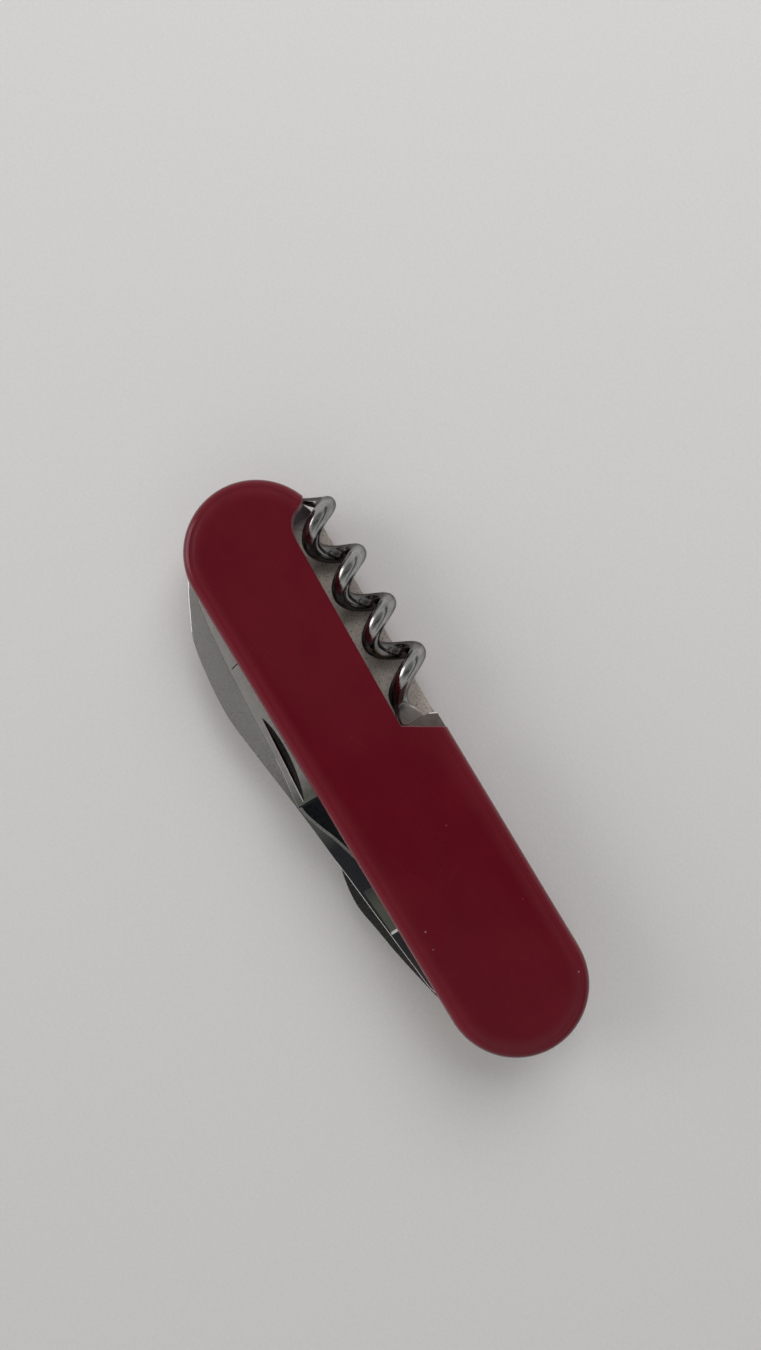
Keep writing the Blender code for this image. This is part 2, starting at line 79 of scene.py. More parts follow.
def skinned(name, rings):
    """Closed body over matching rings of millimetre points, first and last ring capped."""
    work = bmesh.new()
    wrap = work.loops.layers.uv.new("wrap")
    rows = [[work.verts.new([c * MM for c in point]) for point in ring] for ring in rings]
    for step, (row, following) in enumerate(zip(rows, rows[1:])):
        for k in range(len(row)):
            after = (k + 1) % len(row)
            face = work.faces.new((row[k], row[after], following[after], following[k]))
            corners = ((k, step), (k + 1, step), (k + 1, step + 1), (k, step + 1))
            for loop, (around, along) in zip(face.loops, corners):
                loop[wrap].uv = (around / len(row), along / len(rows))
    work.faces.new(rows[0])
    work.faces.new(rows[-1])
    bmesh.ops.recalc_face_normals(work, faces=work.faces)
    mesh = bpy.data.meshes.new(name)
    work.to_mesh(mesh)
    work.free()
    piece = bpy.data.objects.new(name, mesh)
    bpy.context.scene.collection.objects.link(piece)
    return piece


def levelled(outline, z):
    return [(x, y, z) for x, y in outline]


def cut_away(piece, *cutters):
    """Cuts each cutter out of the piece for good and throws the cutter away."""
    for cutter in cutters:
        step = piece.modifiers.new("cut", "BOOLEAN")
        step.object = cutter
        step.solver = "EXACT"
        depsgraph = bpy.context.evaluated_depsgraph_get()
        cut = bpy.data.meshes.new_from_object(piece.evaluated_get(depsgraph))
        piece.modifiers.remove(step)
        piece.data = cut
        bpy.data.objects.remove(cutter, do_unlink=True)


def smoothed(piece, angle=35.0):
    """Soft shading that keeps edges sharper than the angle."""
    piece.data.shade_smooth()
    piece.data.set_sharp_from_angle(angle=math.radians(angle))


def started(name, colour, roughness, metallic=0.0):
    """New surface with its shader ready to be worked on."""
    surface = bpy.data.materials.new(name)
    surface.use_nodes = True
    shader = surface.node_tree.nodes["Principled BSDF"]
    shader.inputs["Base Color"].default_value = (*colour, 1.0)
    shader.inputs["Roughness"].default_value = roughness
    shader.inputs["Metallic"].default_value = metallic
    surface.diffuse_color = (*colour, 1.0)
    return surface, surface.node_tree, shader


def grain(tree, stretch, detail=3.0, turn=0.0, rough=0.55):
    """Noise in the piece's own millimetres, stretched by scale per axis and turned about Z."""
    place = tree.nodes.new("ShaderNodeTexCoord")
    lay = tree.nodes.new("ShaderNodeMapping")
    lay.vector_type = "TEXTURE"
    lay.inputs["Rotation"].default_value = (0.0, 0.0, math.radians(turn))
    lay.inputs["Scale"].default_value = [MM * size for size in stretch]
    noise = tree.nodes.new("ShaderNodeTexNoise")
    noise.inputs["Scale"].default_value = 1.0
    noise.inputs["Detail"].default_value = detail
    noise.inputs["Roughness"].default_value = rough
    tree.links.new(place.outputs["Object"], lay.inputs["Vector"])
    tree.links.new(lay.outputs["Vector"], noise.inputs["Vector"])
    return noise.outputs["Fac"]


def specks(tree, spacing, size, turn=0.0):
    """White dots scattered about one to each cell of the given spacing, in millimetres."""
    place = tree.nodes.new("ShaderNodeTexCoord")
    lay = tree.nodes.new("ShaderNodeMapping")
    lay.vector_type = "TEXTURE"
    lay.inputs["Rotation"].default_value = (0.0, 0.0, math.radians(turn))
    lay.inputs["Scale"].default_value = [MM * spacing] * 3
    cells = tree.nodes.new("ShaderNodeTexVoronoi")
    cells.inputs["Scale"].default_value = 1.0
    tree.links.new(place.outputs["Object"], lay.inputs["Vector"])
    tree.links.new(lay.outputs["Vector"], cells.inputs["Vector"])
    return ranged(tree, cells.outputs["Distance"], size / spacing, size / spacing * 0.6, 0.0, 1.0)


def ranged(tree, source, low, high, to_low, to_high):
    """Runs a value from one range to another, held at both ends."""
    step = tree.nodes.new("ShaderNodeMapRange")
    step.inputs["From Min"].default_value = low
    step.inputs["From Max"].default_value = high
    step.inputs["To Min"].default_value = to_low
    step.inputs["To Max"].default_value = to_high
    tree.links.new(source, step.inputs["Value"])
    return step.outputs["Result"]


def tinted(tree, amount, first, second):
    """Mixes two colours, either of them plain or already made by nodes."""
    mix = tree.nodes.new("ShaderNodeMix")
    mix.data_type = "RGBA"
    tree.links.new(amount, mix.inputs["Factor"])
    for socket, colour in ((mix.inputs["A"], first), (mix.inputs["B"], second)):
        if isinstance(colour, tuple):
            socket.default_value = (*colour, 1.0)
        else:
            tree.links.new(colour, socket)
    return mix.outputs["Result"]


def sum_of(tree, *sources, kind="ADD"):
    """Adds, multiplies or otherwise joins values one after another."""
    total = sources[0]
    for source in sources[1:]:
        join = tree.nodes.new("ShaderNodeMath")
        join.operation = kind
        for socket, value in zip(join.inputs, (total, source)):
            if isinstance(value, float):
                socket.default_value = value
            else:
                tree.links.new(value, socket)
        total = join.outputs["Value"]
    return total


def embossed(tree, shader, height, depth, strength=1.0):
    """Relief on the surface, depth in millimetres."""
    relief = tree.nodes.new("ShaderNodeBump")
    relief.inputs["Strength"].default_value = strength
    relief.inputs["Distance"].default_value = depth * MM
    tree.links.new(height, relief.inputs["Height"])
    tree.links.new(relief.outputs["Normal"], shader.inputs["Normal"])


def measured(tree, axis):
    """Position along one of the piece's own axes, in metres."""
    place = tree.nodes.new("ShaderNodeTexCoord")
    split = tree.nodes.new("ShaderNodeSeparateXYZ")
    tree.links.new(place.outputs["Object"], split.inputs["Vector"])
    return split.outputs[axis]


def crimson_plastic(name, shade=1.0):
    """Polished red moulding, faintly mottled, with a few hairline scratches and specks of lint, and a painted
    sheen lightening the rim along both long sides, strongest on the blade side.
    """
    surface, tree, shader = started(name, (0.112 * shade, 0.0042 * shade, 0.0105 * shade), 0.2)
    mottle = grain(tree, (9.0, 7.0, 9.0), 4.0)
    colour = tinted(tree, ranged(tree, mottle, 0.3, 0.7, 0.0, 1.0),
                    (0.103 * shade, 0.0035 * shade, 0.0095 * shade),
                    (0.121 * shade, 0.005 * shade, 0.012 * shade))
    scratch_a = ranged(tree, grain(tree, (14.0, 0.05, 14.0), 2.0, 24.0), 0.69, 0.73, 0.0, 1.0)
    scratch_b = ranged(tree, grain(tree, (11.0, 0.05, 11.0), 2.0, -61.0), 0.7, 0.74, 0.0, 1.0)
    worn = ranged(tree, grain(tree, (16.0, 8.0, 16.0), 3.0, 10.0), 0.4, 0.55, 0.0, 1.0)
    scratches = sum_of(tree, sum_of(tree, scratch_a, scratch_b), worn, kind="MULTIPLY")
    lint = sum_of(tree, specks(tree, 4.6, 0.17, 17.0), worn, kind="MULTIPLY")
    colour = tinted(tree, sum_of(tree, scratches, 0.05, kind="MULTIPLY"), colour, (0.5, 0.3, 0.3))
    colour = tinted(tree, sum_of(tree, lint, 0.45, kind="MULTIPLY"), colour, (0.5, 0.34, 0.34))
    # Painted sheen: the rim is coloured lighter towards both long edges, strongest along the blade side.
    off_middle = measured(tree, "Y")
    rim = sum_of(tree, ranged(tree, off_middle, 7.5 * MM, 10.0 * MM, 0.0, 0.4),
                 ranged(tree, off_middle, -10.0 * MM, -7.5 * MM, 1.0, 0.0))
    colour = tinted(tree, sum_of(tree, rim, 0.8, kind="MULTIPLY"), colour,
                    (0.17 * shade, 0.0075 * shade, 0.018 * shade))
    tree.links.new(colour, shader.inputs["Base Color"])
    haze = ranged(tree, grain(tree, (5.0, 5.0, 5.0), 5.0), 0.25, 0.75, 0.14, 0.22)
    rougher = sum_of(tree, scratches, 0.1, kind="MULTIPLY")
    tree.links.new(sum_of(tree, haze, rougher), shader.inputs["Roughness"])
    ripple = grain(tree, (3.2, 3.2, 3.2), 2.0)
    embossed(tree, shader, sum_of(tree, ripple, sum_of(tree, scratches, -0.15, kind="MULTIPLY")), 0.01, 0.5)
    shader.inputs["Specular IOR Level"].default_value = 0.36
    shader.inputs["Specular Tint"].default_value = (1.0, 0.72, 0.8, 1.0)
    return surface


def scale_rings(inside, outside, inset=0.0):
    """Rings from the flat inner face round the rim to the crowned outer face."""
    up = 1.0 if outside > inside else -1.0
    edge = 0.08
    rings = [levelled(handle_outline(inset + edge), inside),
             levelled(handle_outline(inset), inside + up * edge)]
    for k in range(11):
        angle = math.radians(90.0 * k / 10)
        drop = 0.36 + 1.6 * (1.0 - math.sin(angle))
        reach = inset + 1.3 * (1.0 - math.cos(angle))
        rings.append(levelled(handle_outline(reach), outside - up * drop))
    for reach, drop in ((1.7, 0.24), (2.2, 0.13), (2.8, 0.045), (3.4, 0.0)):
        rings.append(levelled(handle_outline(inset + reach), outside - up * drop))
    return rings


front_low, front_high = (corner[2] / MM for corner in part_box("front_scale"))
front_scale = skinned("front_scale_cover", scale_rings(front_low, front_high))
opening = skinned("opening", [levelled(notch_outline(), front_low - 1.0),
                              levelled(notch_outline(), front_high + 1.0)])
cut_away(front_scale, opening)
cut_edge, tree, shader = started("cut_plastic", (0.2, 0.05, 0.055), 0.42)
tree.links.new(tinted(tree, grain(tree, (0.6, 0.6, 0.25), 4.0), (0.14, 0.035, 0.042), (0.24, 0.08, 0.088)),
               shader.inputs["Base Color"])
embossed(tree, shader, grain(tree, (0.4, 0.4, 0.12), 3.0), 0.03)
front_scale.data.materials.clear()
front_scale.data.materials.append(crimson_plastic("crimson_cover"))
front_scale.data.materials.append(cut_edge)
for face in front_scale.data.polygons:
    middle = face.center / MM
    in_notch = -38.6 < middle.x < 0.2 and middle.y > 4.5
    if in_notch and abs(face.normal.z) < 0.2 and face.normal.y < 0.999 and middle.y < 10.1:
        face.material_index = 1
smoothed(front_scale)
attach(front_scale, "handle")
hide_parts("front_scale")


# ---- Rear scale ----------------------------------------------------------------
# The matching cover underneath, the same red moulding without the notch. It is what
# the knife lies on.

rear_low, rear_high = (corner[2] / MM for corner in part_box("rear_scale"))
rear_scale = skinned("rear_scale_cover", scale_rings(rear_high, rear_low, 0.22))
rear_scale.data.materials.append(crimson_plastic("crimson_cover_rear", 0.95))
smoothed(rear_scale)
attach(rear_scale, "handle")
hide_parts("rear_scale")


# ---- Liners --------------------------------------------------------------------
# Three thin plates of dull alloy that divide the tools. Their faces have gone grey
# and gritty in the corkscrew's bay, while the blanked edges are still bright.
# Towards the corkscrew's point, at the far end of the bay, all of them are darkened with painted shade.

def liner_finish(name, shade, dirt):
    surface, tree, shader = started(name, (0.4 * shade, 0.37 * shade, 0.35 * shade), 0.5, 0.6)
    cloud = ranged(tree, grain(tree, (2.6, 1.8, 2.6), 5.0), 0.3, 0.7, 0.0, 1.0)
    colour = tinted(tree, cloud, (0.35 * shade, 0.3 * shade, 0.275 * shade),
                    (0.47 * shade, 0.425 * shade, 0.385 * shade))
    grit = ranged(tree, grain(tree, (0.22, 0.22, 0.22), 3.0), 0.56, 0.68, 0.0, dirt)
    stain = ranged(tree, grain(tree, (0.9, 0.5, 0.9), 4.0, 30.0), 0.58, 0.7, 0.0, dirt * 0.6)
    colour = tinted(tree, grit, colour, (0.13, 0.1, 0.09))
    colour = tinted(tree, stain, colour, (0.26, 0.18, 0.15))
    # Painted shade: darker towards the corkscrew's point at the end of the bay.
    shaded_tip_end = ranged(tree, measured(tree, "X"), -37.0 * MM, -33.6 * MM, 1.0, 0.0)
    colour = tinted(tree, shaded_tip_end, colour, (0.07, 0.055, 0.06))
    tree.links.new(colour, shader.inputs["Base Color"])
    tree.links.new(ranged(tree, cloud, 0.0, 1.0, 0.42, 0.6), shader.inputs["Roughness"])
    embossed(tree, shader, sum_of(tree, grain(tree, (0.25, 0.25, 0.25), 4.0), cloud), 0.02)
    return surface


def moved_in(outline, distance):
    """Outline shifted inwards by a distance, corners kept."""
    count = len(outline)
    moved = []
    area = sum(a[0] * b[1] - b[0] * a[1] for a, b in zip(outline, outline[1:] + outline[:1]))
    side = 1.0 if area > 0 else -1.0
    for k in range(count):
        here = Vector(outline[k])
        before = (here - Vector(outline[k - 1])).normalized()
        after = (Vector(outline[(k + 1) % count]) - here).normalized()
        inward_a = Vector((-before.y, before.x)) * side
        inward_b = Vector((-after.y, after.x)) * side
        lean = inward_a + inward_b
        lean = lean / max(0.35, lean.dot(inward_a))
        moved.append(tuple(here + lean * distance))
    return moved


def edged_plate(name, outline, low, high, edge):
    """Flat plate with its two rims rounded over by edge millimetres."""
    half = edge * 0.3
    return skinned(name, [
        levelled(moved_in(outline, edge), low), levelled(moved_in(outline, half), low + half),
        levelled(outline, low + edge), levelled(outline, high - edge),
        levelled(moved_in(outline, half), high - half), levelled(moved_in(outline, edge), high),
    ])


liner_plain = liner_finish("dusty_liner", 1.65, 0.75)
liner_clean = liner_finish("clean_liner", 0.5, 0.2)
# Bright metal for the front liner's blanked edge, also put as a painted highlight on the large blade's spine
# chamfer and along the opener's nick lip.
bright_edge_and_highlight, tree, shader = started("bright_edge_and_painted_highlight", (0.82, 0.81, 0.79), 0.3, 0.35)
tree.links.new(tinted(tree, grain(tree, (0.5, 0.5, 0.3), 3.0), (0.72, 0.71, 0.69), (0.92, 0.91, 0.89)),
               shader.inputs["Base Color"])
embossed(tree, shader, grain(tree, (0.3, 0.3, 0.3), 2.0), 0.01)
bay = [(-42.0, 12.0), (-40.8, 4.1), (1.9, 4.1), (3.3, 12.0)]
front_notch = notch_outline()[:-2] + [(-3.4, 4.77), (-3.5, 9.0), (-2.85, 10.3), (-2.85, 12.0)]
for node, cutter_outline, finish in (("rear_liner", None, liner_plain), ("middle_liner", bay, liner_plain),
                                     ("front_liner", front_notch, liner_clean)):
    low, high = (corner[2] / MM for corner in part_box(node))
    outline = handle_outline(0.18)
    if node == "front_liner":
        # The front liner stands a hair proud of the scale along the plain part of the back edge.
        outline = [(x, y + 0.28 * max(0.0, y / 10.0) * min(1.0, max(0.0, (x + 3.0) / 9.0)))
                   for x, y in outline]
    liner = edged_plate(node + "_plate", outline, low, high, 0.1)
    if cutter_outline:
        flared = moved_in(cutter_outline, -0.12)
        cut_away(liner, skinned("cutter", [
            levelled(cutter_outline, low - 1.0), levelled(cutter_outline, high - 0.1),
            levelled(flared, high + 0.01), levelled(flared, high + 1.0),
        ]))
    liner.data.materials.clear()
    liner.data.materials.append(finish)
    liner.data.materials.append(bright_edge_and_highlight)
    for face in liner.data.polygons:
        middle = face.center / MM
        if node == "front_liner" and abs(face.normal.z) < 0.9 and middle.x > -4.0 and middle.y > 8.4:
            face.material_index = 1
    smoothed(liner)
    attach(liner, "handle")
    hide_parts(node)


# ---- Back springs --------------------------------------------------------------
# Two bars of hardened spring steel, one to a tool layer, ground bright along the top
# where they show at the handle's back edge. They keep the CAD shape.

spring_steel, tree, shader = started("ground_spring_steel", (0.42, 0.42, 0.42), 0.36, 1.0)
drawn = grain(tree, (6.0, 0.12, 0.12), 4.0)
tree.links.new(tinted(tree, ranged(tree, drawn, 0.3, 0.7, 0.0, 1.0), (0.32, 0.32, 0.32), (0.52, 0.52, 0.51)),
               shader.inputs["Base Color"])
tree.links.new(ranged(tree, drawn, 0.3, 0.7, 0.28, 0.46), shader.inputs["Roughness"])
embossed(tree, shader, drawn, 0.01)
for node in ("front_spring", "rear_spring"):
    for place in nodes[node].material_slots:
        place.material = spring_steel


# ---- Large blade ---------------------------------------------------------------
# The main blade of stainless steel, pivoted at the corkscrew's tip end, with its broad
# back standing out of the handle. It is ground across its width, has a long nail nick
# near the back, and its corners are slightly broken. Bands of painted reflection along
# it stand for what it mirrors when closed. The nick's floor carries painted shade and a
# greenish painted reflection, the middle of the spine's chamfer painted shade, and the
# chamfer near both ends a painted highlight. The tang is left without its rivet hole.

def smooth(guide, steps=6):
    """Soft curve passing through every guide point."""
    padded = [guide[0]] + list(guide) + [guide[-1]]
    curve = []
    for a, b, c, d in zip(padded, padded[1:], padded[2:], padded[3:]):
        for k in range(steps):
            t = k / steps
            point = []
            for p, q, r, s in zip(a, b, c, d):
                bend = (r - p) * t + (2 * p - 5 * q + 4 * r - s) * t ** 2 + (3 * q - p - 3 * r + s) * t ** 3
                point.append(q + 0.5 * bend)
            curve.append(tuple(point))
    curve.append(tuple(guide[-1]))
    return curve


def ground_blade(name, back, lip, low, high, corner):
    """Blade between its back and its cutting edge: flat strip, ground taper, fine edge."""
    thin = 0.36 * (high - low)
    middle = (low + high) / 2
    sections = []
    for spine, edge in zip(back, lip):
        across = Vector(edge) - Vector(spine)
        width = across.length
        across.normalize()
        bevel = min(0.7, width * 0.25)
        rim = min(corner * (0.4 if -30.0 < spine[0] < 9.0 else 1.0), width * 0.2)

        def at(distance, z):
            return (spine[0] + across.x * distance, spine[1] + across.y * distance, z)

        sections.append([
            at(rim, low), at(rim * 0.3, low + rim * 0.3), at(0.0, low + rim),
            at(0.0, high - rim), at(rim * 0.3, high - rim * 0.3), at(rim, high),
            at(width * 0.42, high), at(width - bevel, high - thin), at(width, middle + 0.02),
            at(width, middle - 0.02), at(width - bevel, low + thin), at(width * 0.42, low),
        ])
    return skinned(name, sections)


def joined(name, first, *others):
    """Puts several bodies into one piece."""
    work = bmesh.new()
    for body in (first,) + others:
        work.from_mesh(body.data)
    mesh = bpy.data.meshes.new(name)
    work.to_mesh(mesh)
    work.free()
    for body in others:
        bpy.data.objects.remove(body, do_unlink=True)
    first.data = mesh
    first.name = name
    return first


def satin_steel(name, dark, light, rough_low, rough_high, painted_reflection_zones=()):
    """Stainless steel ground across the blade, with bands of painted reflection (from, to, colour) following
    its length.
    """
    surface, tree, shader = started(name, dark, rough_low, 1.0)
    strokes = grain(tree, (0.12, 5.0, 5.0), 4.0, 8.0, 0.6)
    fine = grain(tree, (0.3, 0.4, 0.3), 4.0, 0.0, 0.7)
    cloud = grain(tree, (5.0, 4.0, 5.0), 3.0)
    blotch = ranged(tree, sum_of(tree, strokes, cloud, fine, fine), 1.5, 2.5, 0.0, 1.0)
    colour = tinted(tree, blotch, dark, light)
    for start, end, tone in painted_reflection_zones:
        colour = tinted(tree, ranged(tree, measured(tree, "X"), start * MM, end * MM, 0.0, 1.0), colour, tone)
    tree.links.new(colour, shader.inputs["Base Color"])
    tree.links.new(ranged(tree, fine, 0.3, 0.7, rough_low, rough_high), shader.inputs["Roughness"])
    embossed(tree, shader, sum_of(tree, fine, sum_of(tree, strokes, 0.25, kind="MULTIPLY")), 0.0012)
    return surface


layer_low, layer_high = (corner[2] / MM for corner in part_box("large_blade"))
blade_back = smooth([
    (-36.4, -11.33), (-33.84, -12.65), (-28.64, -14.78), (-18.77, -15.94), (-10.98, -15.3),
    (0.45, -14.0), (16.0, -12.6), (27.5, -11.5), (31.4, -11.0), (33.3, -9.7),
])
blade_lip = smooth([
    (-34.6, -4.0), (-30.5, -2.6), (-26.0, -2.5), (-18.0, -2.5), (-10.0, -2.5),
    (0.0, -2.5), (13.0, -2.6), (22.5, -3.5), (29.5, -6.2), (33.3, -9.4),
])
blade_body = ground_blade("blade_body", blade_back, blade_lip, layer_high - 1.25, layer_high - 0.01, 0.09)
nick = skinned("nick", [
    [(14.0, -12.22, 6.188), (14.0, -12.22, 6.6), (14.0, -8.9, 6.6), (14.0, -8.9, 6.188)],
    [(21.05, -11.93, 5.95), (21.05, -11.93, 6.6), (21.05, -8.9, 6.6), (21.05, -8.9, 5.95)],
    [(21.4, -11.93, 6.19), (21.4, -11.93, 6.6), (21.4, -8.9, 6.6), (21.4, -8.9, 6.19)],
])
cut_away(blade_body, nick)
blade_pivot, tang_radius = (-37.5, -1.8), 3.5
blade_tang = edged_plate("blade_tang", arc(blade_pivot, tang_radius, -10.0, 256.0, 60) + [
    (-38.4, -5.4), (-38.4, -8.0), (-37.27, -10.88), (-31.2, -13.65), (-30.4, -5.0), (-30.6, -3.2),
], layer_low, layer_high - 0.012, 0.12)
large_blade = joined("large_blade_steel", blade_body, blade_tang)
large_blade.data.materials.clear()
# Painted reflection: the blade steel darkens in steps towards its outer end, first to grey, then near black,
# then brownish.
large_blade.data.materials.append(satin_steel(
    "blade_steel", (0.71, 0.69, 0.67), (0.77, 0.75, 0.725), 0.26, 0.36,
    [(-8.0, 2.0, (0.34, 0.34, 0.32)), (3.0, 6.5, (0.1, 0.105, 0.115)), (24.0, 28.0, (0.17, 0.13, 0.135))]))
large_blade.data.materials.append(bright_edge_and_highlight)
# Painted shade on the nick's floor, with a greenish painted reflection along its deeper part.
large_blade.data.materials.append(satin_steel(
    "nick_floor_painted_shade", (0.11, 0.115, 0.12), (0.15, 0.155, 0.16), 0.3, 0.42, [(13.0, 17.0, (0.27, 0.295, 0.24))]))
large_blade.data.materials.append(satin_steel("shaded_edge", (0.2, 0.2, 0.19), (0.3, 0.3, 0.28), 0.35, 0.45))
# Painted highlight on the spine's chamfer near both ends, painted shade on it in between.
for face in large_blade.data.polygons:
    middle = face.center / MM
    if middle.z > 5.5 and 0.2 < face.normal.z < 0.93 and middle.y < -9.0:
        face.material_index = 1 if middle.x < -31.0 or middle.x > 9.5 else 3
    elif 14.0 < middle.x < 21.1 and middle.z < layer_high - 0.03 and face.normal.z > 0.9 and middle.y > -12.3:
        face.material_index = 2
smoothed(large_blade, 22.0)
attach(large_blade, "large_blade")
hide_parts("large_blade")


# ---- Small blade ---------------------------------------------------------------
# The pen blade lying beside the main one in the same layer, pivoted at the plain end.
# It is thinner and more finely polished, and is coloured nearly black, as it looks lying
# in the shade of the handle. Its tang is left without its rivet hole.

small_back = smooth([
    (37.0, -9.2), (33.9, -10.8), (25.8, -12.6), (20.0, -13.55), (15.2, -14.2),
    (10.2, -13.53), (4.6, -11.6), (-1.0, -9.2), (-4.5, -6.9),
])
small_lip = smooth([
    (36.0, -5.0), (31.0, -3.7), (25.0, -3.5), (19.0, -3.5), (14.0, -3.5),
    (8.0, -3.6), (3.0, -4.2), (-1.5, -5.4), (-4.5, -6.5),
])
small_body = ground_blade("small_body", small_back, small_lip, layer_low + 0.05, layer_low + 1.1, 0.06)
small_pivot = (37.5, -0.5)
small_tang = edged_plate("small_tang", arc(small_pivot, tang_radius, -74.0, 190.0, 60) + [
    (34.0, -3.6), (34.0, -6.0), (34.0, -10.6), (37.6, -9.3), (38.5, -7.2), (38.5, -4.1),
], layer_low, layer_high, 0.12)
small_blade = joined("small_blade_steel", small_body, small_tang)
small_blade.data.materials.clear()
small_blade.data.materials.append(
    satin_steel("small_blade_steel", (0.1, 0.1, 0.097), (0.17, 0.17, 0.16), 0.2, 0.32))
smoothed(small_blade, 22.0)
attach(small_blade, "small_blade")
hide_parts("small_blade")


# ---- Combination opener --------------------------------------------------------
# A thick stainless tool in the upper layer: cap lifter with a hooked mouth and a ground
# driver tip, with a long pointed nail nick pressed in near its back and a worn chamfer
# running round the back to the tip. Its tang too is left without its rivet hole.
# Painted shade lies in the nick and along the back's chamfer, a painted highlight along the nick's lip, and
# painted reflection darkens the tip end.

opener_low, opener_high = (corner[2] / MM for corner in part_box("combination_opener"))
opener_back = smooth([
    (-36.0, -9.8), (-33.3, -10.74), (-25.2, -11.7), (-15.05, -12.42), (-7.95, -12.77),
    (-1.56, -13.48), (1.9, -12.77), (5.24, -11.55), (9.3, -10.44), (13.5, -9.0),
])
opener_outline = (
    arc(blade_pivot, tang_radius, -10.0, 256.0, 60) + [(-38.4, -5.4), (-38.4, -7.8)] + opener_back
    + [(13.5, -5.4), (4.0, -4.8), (1.0, -4.6)] + arc((-2.4, -5.4), 2.4, 0.0, -150.0, 20) + [(-5.6, -4.4)]
    + [(-28.0, -3.6), (-32.0, -2.9)]
)
opener = edged_plate("combination_opener_steel", opener_outline, opener_low, opener_high, 0.04)
nick_sections = []
for k in range(33):
    along = k / 32
    x = -14.85 + 12.99 * along
    swell = math.sin(math.pi * (0.01 + 0.98 * along ** 0.95)) ** 0.7
    outer = -11.45 - 0.97 * along
    inner = outer + 1.12 * swell
    nick_sections.append([(x, outer, opener_high - 0.5 * max(0.2, swell)), (x, outer, opener_high - 0.07),
                          (x, outer - 0.14, opener_high + 0.004), (x, outer - 0.14, opener_high + 0.4),
                          (x, inner, opener_high + 0.4), (x, inner, opener_high - 0.12 * swell - 0.02)])
grind_from, grind_to, tip_thinning = -1.5, 15.0, 1.3
tip_grind = skinned("tip_grind", [
    [(grind_from, y, opener_high), (grind_from, y, opener_high + 1.0),
     (grind_to, y, opener_high + 1.0), (grind_to, y, opener_high - tip_thinning)]
    for y in (-15.0, -3.0)
])
tick_corners = [(-23.36, -10.3), (-23.02, -11.5), (-22.88, -11.5), (-23.18, -10.3)]
tick = skinned("tick", [levelled(tick_corners, opener_high - 0.12),
                        levelled(tick_corners, opener_high + 0.4)])
cut_away(opener, skinned("nail_nick", nick_sections), tick, tip_grind)
opener.data.materials.clear()
# The opener steel darkens with painted reflection from the hooked mouth on towards the tip; the nick, tick
# and back chamfer carry painted shade, the ground driver tip a dark painted reflection.
for finish in (satin_steel("opener_steel", (0.8, 0.78, 0.75), (0.88, 0.86, 0.83), 0.28, 0.4,
                           [(-5.5, -2.5, (0.4, 0.41, 0.36))]),
               satin_steel("nick_painted_shade", (0.012, 0.012, 0.011), (0.04, 0.04, 0.037), 0.3, 0.4),
               satin_steel("driver_tip_painted_reflection", (0.035, 0.045, 0.05), (0.07, 0.08, 0.085), 0.14, 0.24),
               satin_steel("worn_bevel", (0.5, 0.5, 0.47), (0.64, 0.64, 0.6), 0.3, 0.4), bright_edge_and_highlight):
    opener.data.materials.append(finish)
work = bmesh.new()
work.from_mesh(opener.data)
ground = [face for face in work.faces
          if face.calc_center_median().x > grind_from * MM
          and 0.98 < face.normal.z < 0.9999 and face.calc_area() > 2e-6]
# The ground driver tip is coloured with dark painted reflection.
for face in bmesh.ops.inset_region(work, faces=ground, thickness=0.4 * MM, depth=-0.05 * MM)["faces"]:
    face.material_index = 3 if face.calc_center_median().x > -1.2 * MM else 2
for face in ground:
    face.material_index = 2
for face in work.faces:
    middle = face.calc_center_median() / MM
    # Painted shade in the nail nick, the tick and on the back's chamfer over this stretch; a painted
    # highlight along the nick's outer lip.
    if middle.z < opener_high - 0.004 and -35.0 < middle.x < -1.7 and -12.7 < middle.y < -10.0:
        bright_lip = face.normal.y > 0.2 and middle.z > opener_high - 0.07 and middle.x > -15.0
        if bright_lip:
            face.material_index = 4
        elif face.normal.z > 0.3 or middle.x < -20.0:
            face.material_index = 1
work.to_mesh(opener.data)
work.free()
smoothed(opener, 22.0)
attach(opener, "combination_opener")
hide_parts("combination_opener")


# ---- Corkscrew -----------------------------------------------------------------
# A right-handed worm wound from round steel wire and chromium plated. One end tapers to
# a point, the other runs out into a shank that is flattened into an eye for its pin.

# Painted shade darkens its lower strands and its flank towards the notch's lower wall.
WORM_Y, WORM_Z = 9.65, 7.7
WIRE = 1.29
COIL = 2.49
PITCH = 8.17
LEAN = 0.42
DRAWN_OUT = 15.8
FIRST_CREST = -36.27
TURN = 2.0 * math.pi


def worm_along(turns):
    """Travel along the worm and its rate: turns lean towards the point, which is drawn out."""
    angle = TURN * turns
    if turns < 0.0:
        rate = PITCH - TURN * LEAN
        return rate * turns - DRAWN_OUT * turns ** 2, rate - 2.0 * DRAWN_OUT * turns
    return PITCH * turns - LEAN * math.sin(angle), PITCH - TURN * LEAN * math.cos(angle)


def worm_centre(turns):
    angle = TURN * turns
    travel = worm_along(turns)[0]
    return Vector((FIRST_CREST + travel, WORM_Y + COIL * math.cos(angle), WORM_Z + COIL * math.sin(angle)))


def worm_heading(turns):
    angle = TURN * turns
    rate = worm_along(turns)[1]
    return Vector((rate / TURN, -COIL * math.sin(angle), COIL * math.cos(angle))).normalized()


def wire_section(centre, heading, outward, half_height, half_width, squareness, sides=32):
    side = heading.cross(outward).normalized()
    height = side.cross(heading).normalized()
    points = []
    for k in range(sides):
        angle = 2.0 * math.pi * k / sides
        across = math.copysign(abs(math.sin(angle)) ** (2.0 / squareness), math.sin(angle))
        up = math.copysign(abs(math.cos(angle)) ** (2.0 / squareness), math.cos(angle))
        points.append(centre + side * half_width * across + height * half_height * up)
    return points


